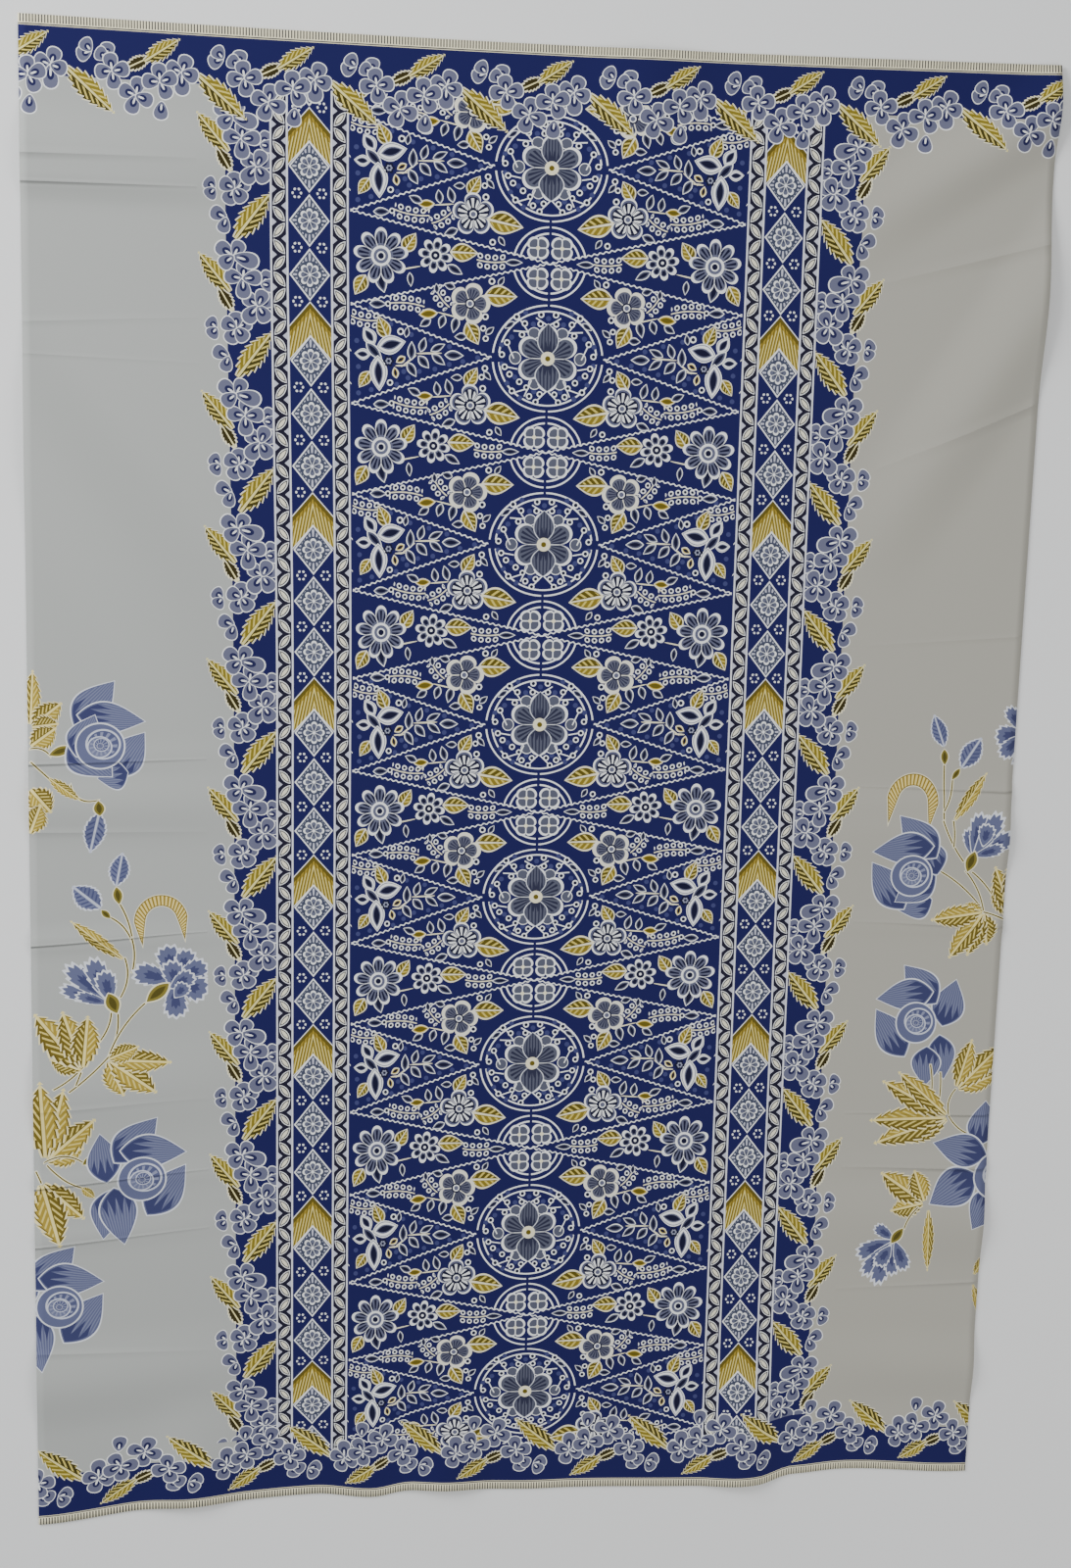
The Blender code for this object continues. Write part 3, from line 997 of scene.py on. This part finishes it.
def finish_field(field, creases):
    """Joins the dyed cloth colour, and its sharp creases, to the field's shader."""
    shader = field.nodes["Principled BSDF"]
    field.feed(shader.inputs["Base Color"], field.ink)
    shader.inputs["Roughness"].default_value = 0.82
    shader.inputs["Specular IOR Level"].default_value = 0.25
    relief = None
    for side, height, fall, half, depth in creases:
        inward = field.minus(CLOTH_HALF, field.times(field.across, float(side)))
        away = field.minus(field.up, field.times_plus(inward, -fall, height))
        near = field.larger(field.times_plus(field.absolute(away), -1.0 / half, 1.0), 0.0)
        fade = field.larger(field.times_plus(inward, -depth / CREASE_REACH, depth), 0.0)
        near = field.times(field.times(near, near), fade)
        relief = near if relief is None else field.plus(relief, near)
    if relief is not None:
        bump = field.add("ShaderNodeBump")
        bump.inputs["Strength"].default_value = 0.8
        bump.inputs["Distance"].default_value = 0.0015
        field.links.new(relief, bump.inputs["Height"])
        field.links.new(bump.outputs[0], shader.inputs["Normal"])
    cloth.data.materials.append(field.material)
    return len(cloth.data.materials) - 1


# The bouquets on the grey body: roses, carnations, buds and gold leaves on
# thin stalks, printed once down each side.
LEFT_BOUQUET = (
    marks("gold lobe", (-356.2, 83.6, 87, 20.5, 7.1), (-346.4, 71.9, 39, 13.9, 9.4),
        (-347.5, 64.4, 8, 9.7, 8.3), (-348.8, 56.1, 37, 11.5, 9.4), (-350.8, 12, -50, 11.7, 10.6),
        (-354.7, -1.3, 70, 12.2, 9.4))
    + marks("stalk", (-350.5, 45.8, -21, 6.8, 2), (-350.2, 32.2, -44, 9.3, 0),
        (-322.1, 17, -31, 10.1, -5))
    + marks("olive leaf", (-337.5, 46.4, 20, 8.9, 3.8))
    + marks("gold lobe", (-335.2, 19.9, -37, 14, 4.5))
    + marks("rose petal", (-315, 79.6, 50, 21.4, 12.5), (-304.1, 69.4, -6, 23, 11.2),
        (-293.5, 43.8, 54, 19.8, 12.5), (-303.4, 29.1, -168, 10.5, 10.6),
        (-317.4, 41.9, -45, 19.9, 15.8), (-320.8, 57.1, 67, 16.4, 11.9))
    + marks("rose heart", (-311.4, 49.9, 0, 16.5, 16.5))
    + marks("blue bud", (-315.5, -11.2, -102, 16.3, 8))
    + marks("olive leaf", (-312.5, 6.2, -84, 6, 4.2))
    + marks("stalk", (-296, -77.3, -73, 15, 1.5), (-299.3, -82.3, -51, 11, 2))
    + marks("blue bud", (-299.7, -39.2, 80, 13.1, 7.5))
    + marks("olive leaf", (-300.9, -58.2, 98, 7.1, 3.6))
    + marks("blue bud", (-321.1, -58.8, 138, 13.2, 9.5))
    + marks("olive leaf", (-308.8, -71.5, 133, 4.8, 2.6))
    + marks("stalk", (-291.9, -102.7, -90, 12.4, 1.5), (-298.1, -119.1, -96, 14.3, 3))
    + marks("gold arch", (-272.4, -78.5, 6, 16.6, 18.2))
    + marks("gold lobe", (-314.6, -90.7, 139, 24.6, 5.4))
    + marks("stalk", (-310.6, -156.1, -113, 11.9, 2), (-304.5, -161.4, -101, 15.5, 2),
        (-296.3, -159.2, -122, 23, -3), (-320.7, -188.5, -138, 17.8, 1),
        (-329.8, -182.5, -133, 21.2, 4))
    + marks("frill petal", (-323.3, -130.6, 157, 18.9, 7.8), (-321.2, -122.2, 134, 22, 9.5),
        (-312.9, -120, 111, 19.4, 10.1), (-308.5, -125, 101, 13.3, 9.5),
        (-318.1, -133.8, 160, 12.9, 5.6))
    + marks("olive leaf", (-304.9, -137.8, 110, 9, 5.4))
    + marks("frill petal", (-278.2, -119, 161, 15.2, 11.2), (-266.6, -109.5, 101, 14.7, 11.8),
        (-258.2, -111.6, 66, 13.4, 10.1), (-252.2, -117.6, 28, 13.2, 11.2),
        (-252, -128.9, -23, 12.9, 13.4), (-263.3, -138.5, -88, 14.7, 11.2),
        (-264.1, -120.2, 105, 13.4, 10.1), (-258.9, -124, 31, 10.3, 9),
        (-259.8, -131.3, 51, 7, 7.8))
    + marks("olive leaf", (-275.2, -131.9, 41, 11, 5.6))
    + marks("stalk", (-327.9, -191.4, -111, 4.5, 0))
    + marks("gold lobe", (-336.3, -180.7, 157, 12.3, 8.3), (-341.6, -163.6, 127, 27.4, 12.4),
        (-331.8, -162.9, 107, 23.6, 10.6), (-323.1, -165.1, 85, 20.4, 10.6),
        (-303.3, -193.2, -69, 15, 9.4), (-292.2, -192.9, -40, 21.5, 10.6),
        (-287, -182, -7, 21.9, 9.4), (-298, -175, 21, 11.5, 7.7), (-337.6, -248.5, 19, 14, 10),
        (-333.6, -237.3, 42, 23.3, 11.2), (-344.1, -224.6, 77, 29.2, 11.2),
        (-352.5, -221.8, 93, 31.3, 12.4))
    + marks("stalk", (-337.6, -254.7, -7, 13.7, 5), (-337.7, -264.9, -37, 14.8, -2),
        (-355.7, -264.2, -66, 4.2, 0))
    + marks("gold lobe", (-339.2, -283, -46, 21.5, 10.6), (-353.8, -287.4, -89, 20, 9.4),
        (-347.7, -293.4, -76, 26.7, 12.4))
    + marks("olive leaf", (-322.2, -253.7, 40, 5.4, 2.6))
    + marks("gold lobe", (-322.4, -277.6, -46, 6.8, 3.8))
    + marks("rose petal", (-310.4, -295.2, -97, 19, 11.2), (-302.1, -296.9, -81, 22.6, 12.5),
        (-270.6, -279.7, 54, 23.1, 13.2), (-312.2, -252.6, 97, 19, 11.2),
        (-290.7, -240.9, 48, 22.1, 13.2), (-279, -250.2, -5, 22.9, 12.5))
    + marks("rose heart", (-286.8, -270.5, 0, 16.5, 16.5))
    + marks("rose petal", (-366.4, -389.1, -97, 19.3, 11.2), (-358.2, -390.9, -82, 23, 12.5),
        (-326.6, -373.7, 54, 23.3, 13.2), (-368, -345.8, 96, 19.4, 11.2),
        (-346.4, -334.1, 48, 22.3, 13.2), (-334.8, -343.7, -6, 22.9, 12.5))
    + marks("rose heart", (-342.7, -364.2, 0, 16.5, 16.5)))
RIGHT_BOUQUET = (
    marks("stalk", (306, 12.9, -88, 22.3, 0), (309.5, 11.3, -103, 12.4, 1.5),
        (315.2, -23.8, -60, 17.7, -1.5), (314.8, -18.1, -86, 9.6, 0.5))
    + marks("blue bud", (299.8, 59.6, 111, 13.7, 6.8))
    + marks("olive leaf", (305.1, 39.9, 95, 6.6, 3.4))
    + marks("blue bud", (325.6, 42.9, 58, 14.2, 9)) + marks("olive leaf", (314.7, 27, 56, 5.7, 2.6))
    + marks("gold arch", (281.6, 5.4, -8, 18.4, 20.4))
    + marks("gold lobe", (326.6, 9.8, 56, 23.2, 5.7))
    + marks("frill petal", (358.6, 68, 128, 13.1, 7.3), (354.5, 56.3, -173, 12.1, 11.2),
        (357, 48.7, -137, 13.1, 9), (365.5, 43, -94, 14.7, 10.1))
    + marks("stalk", (324.4, -62.7, -40, 25.5, 3), (335.3, -63.2, -63, 17.8, 2.5),
        (340.6, -56.5, -46, 11.8, 1), (355.5, -83.8, -22, 12.9, 1))
    + marks("frill petal", (328.3, -23.9, 101, 11.7, 7.8), (347, -27, 27, 18.4, 10.1),
        (333.4, -18.1, 81, 17.6, 10.1), (341.5, -18.3, 58, 20.3, 10.1),
        (343.2, -31.7, 16, 13.1, 6.7), (339.8, -18.8, 79, 9.3, 9))
    + marks("olive leaf", (330.3, -39.6, 75, 9.2, 5.2))
    + marks("gold lobe", (357.2, -71, 128, 15.6, 8.3), (358, -62.8, 113, 22.3, 9.4),
        (365.9, -57.8, 92, 25.5, 10.6), (345.5, -92.2, -81, 13.3, 10),
        (337.7, -96.5, -108, 18.4, 9.4), (330.3, -97.6, -125, 22.7, 10),
        (333.5, -77.3, 170, 10.2, 7.1), (322, -82.3, -171, 21.7, 9.4))
    + marks("rose petal", (288.5, -73.9, -163, 14.5, 11.9), (266.7, -59.2, 126, 23.4, 13.2),
        (297.3, -35.1, 117, 17.3, 12.5), (287.7, -20.5, 133, 22.8, 13.2),
        (276.6, -29.9, -174, 24.3, 12.5), (288.2, -61.4, -146, 19.3, 11.9))
    + marks("rose heart", (284.7, -51.2, 0, 16.5, 16.5))
    + marks("rose petal", (320.7, -150.5, 76, 19.7, 13.2), (317.1, -193.4, -81, 18.2, 11.2),
        (304.8, -201.2, -90, 16.1, 11.9), (274.8, -175.7, 124, 22.8, 13.2),
        (296.7, -136.5, 133, 20.6, 13.2), (284.8, -145.6, -171, 23.5, 12.5))
    + marks("rose heart", (294.8, -167.1, 0, 16.5, 16.5))
    + marks("stalk", (309.8, -209.5, -83, 9.3, 0.5), (317.3, -216.5, -89, 10.4, 0.5),
        (328.1, -229.6, -100, 10.9, -3), (338.1, -248.7, -34, 14.2, -3))
    + marks("gold lobe", (347.6, -212.5, 20, 18.2, 9.4), (347.8, -201.2, 46, 24.7, 10.6),
        (335.9, -198.3, 75, 21.2, 9.4), (308, -251.8, -150, 21.2, 9.4),
        (295.6, -252.2, -160, 32.7, 10.6), (293.4, -243.1, -177, 33, 10.6),
        (297.8, -227.1, 154, 31.8, 10.6), (304.1, -223.3, 141, 28.5, 8.8))
    + marks("rose petal", (354.8, -245.7, 88, 18.1, 13.2), (336.9, -266.8, 167, 23.4, 13.2),
        (358, -315, -118, 18.4, 13.2), (332.1, -298, -148, 22.8, 15.8))
    + marks("rose heart", (366.9, -288.6, 0, 18, 19))
    + marks("gold lobe", (295.2, -311.9, -168, 14.7, 9.4), (290.8, -296.8, 147, 22.3, 11.2),
        (304.8, -295.7, 110, 14, 10))
    + marks("stalk", (298.8, -320.7, -122, 9.4, -1.5))
    + marks("gold lobe", (314.5, -339.2, -86, 27.8, 5.2))
    + marks("frill petal", (277.9, -332.3, 145, 10.8, 6.7), (271.2, -344.8, -158, 16.7, 10.6),
        (274.3, -353.4, -130, 19.3, 9.5), (279.7, -357.5, -110, 20.2, 10.1),
        (286.6, -353.9, -90, 15.4, 9), (292.5, -351.9, -66, 14.6, 8.4),
        (279.2, -351.5, -121, 10.4, 9))
    + marks("olive leaf", (288.5, -334.9, -126, 8.3, 4.4))
    + marks("gold lobe", (360, -360.3, 63, 11.6, 4.7), (359.9, -392.9, -72, 17.7, 3.8))
    + marks("olive leaf", (365, -154.9, 79, 7.6, 2.4)))
BOUQUET_ROW = 64.5


def draw_bouquet(field, bouquet, left, right, low):
    """One row of the body."""
    field.place = field.join(field.across, field.up)
    draw_chart(field, bouquet, (left, right, low, low + BOUQUET_ROW))


# The woven selvedges at the top and bottom edges are undyed, with dark ticks
# of warp thread and one dark line beside the print.
SELVEDGE_TICK = 2.0
TICKS_FROM = 529.8
DARK_LINE = 528.8


def dye_selvedge():
    """One field for both selvedges."""
    field = Field("selvedge", CREAM)
    height = field.absolute(field.up)
    ticks = field.below(field.fraction(field.over(field.across, SELVEDGE_TICK)), 0.45)
    ticks = field.times(ticks, field.above(height, TICKS_FROM))
    field.lay(ticks, dye(84, 82, 80))
    field.lay(field.calc('COMPARE', height, DARK_LINE, 0.35), dye(40, 40, 60))
    return field


# The print is dyed field by field. A field is a part of the cloth's width, a
# tile across the panel, a row, a side and an end, and each face of the cloth
# takes the material of the field that it falls in.
END_START = REPEAT * 3.5
PARTS = {"bands": (PANEL_HALF, BANDS_EDGE), "chain": (BANDS_EDGE, CHAIN_EDGE),
         "body": (CHAIN_EDGE, CLOTH_HALF)}


def field_at(across, up):
    """The field that a place on the flat cloth falls in."""
    side = 1 if across > 0 else -1
    end = 0 if abs(up) < END_START else (1 if up > 0 else -1)
    part = next((name for name, (near, far) in PARTS.items() if near < abs(across) < far), "panel")
    tile = int(abs(across) / TILE_ACROSS) if part == "panel" else 0
    tile_row = int((up % REPEAT) / TILE_UP)
    if abs(up) > SELVEDGE_LINE:
        return "selvedge", 0, 0, 0, 0
    if end:
        row = min(int((abs(up) - END_START) / TILE_UP), 2)
        return part, tile, row * PANEL_TILES + tile_row if part == "panel" else row, side, end
    if part == "panel":
        return part, tile, tile_row, 0, 0
    if part == "body":
        return part, tile, math.floor(up / BOUQUET_ROW), side, 0
    return part, 0, 0, side if part == "chain" else 0, 0


def dye_field(part, tile, row, side, end):
    """Draws one field of the print, the end chain last."""
    if part == "selvedge":
        return dye_selvedge()
    near, far = PARTS.get(part, (TILE_ACROSS * tile, TILE_ACROSS * (tile + 1)))
    left, right = (near, far) if side > 0 else (-far, -near)
    # On the right side the ground, in the body and outside the chain, is the grey with painted warm
    # shade, a warmer and slightly darker tone for how the light falls there.
    grey = PAINTED_WARM_SHADE_GROUND if side > 0 else GREY_GROUND
    field = Field("%s %s %s %s %s" % (part, tile, row, side, end), grey if part == "body" else NAVY)
    if part == "panel":
        draw_panel(field, near, TILE_UP * (row % PANEL_TILES))
    elif part == "bands":
        draw_bands(field)
    elif part == "chain":
        field.lay(field.above(field.absolute(field.across), CHAIN_GROUND_EDGE), grey)
        if not end:
            draw_side_chain(field, CHAIN_FOOT, CHAIN_FOOT + CHAIN_STEP)
        elif row == 0:
            draw_side_chain(field, *sorted((end * END_START, end * (END_START + TILE_UP))))
    elif not end:
        bouquet = RIGHT_BOUQUET if side > 0 else LEFT_BOUQUET
        draw_bouquet(field, bouquet, left, right, row * BOUQUET_ROW)
    if end:
        low = END_START + TILE_UP * (row // PANEL_TILES if part == "panel" else row)
        draw_end(field, end, left, right, low, low + TILE_UP)
    return field


def creases_in(part, tile, row, side, end):
    """The sharp creases that may cross a field of the body."""
    low = min(END_START * end, (END_START + TILE_UP) * end) if end else row * BOUQUET_ROW
    return [crease for crease in SHARP_CREASES
            if part == "body" and crease[0] == side and low - 50 < crease[1] < low + 110]


slots = {}
for face in cloth.data.polygons:
    places = [flat_places[index] for index in face.vertices]
    key = field_at(sum(place[0] for place in places) / 4, sum(place[1] for place in places) / 4)
    if key not in slots:
        slots[key] = finish_field(dye_field(*key), creases_in(*key))
    face.material_index = slots[key]

# The dyed cloth is given its thickness, and lies loose on the floor.
bpy.ops.object.select_all(action='DESELECT')
cloth.select_set(True)
bpy.context.view_layer.objects.active = cloth
thickness = cloth.modifiers.new("cotton thickness", 'SOLIDIFY')
thickness.thickness = CLOTH_THICKNESS
thickness.offset = 1.0
bpy.ops.object.modifier_apply(modifier=thickness.name)
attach(cloth, "root")
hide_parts("batik_cloth")
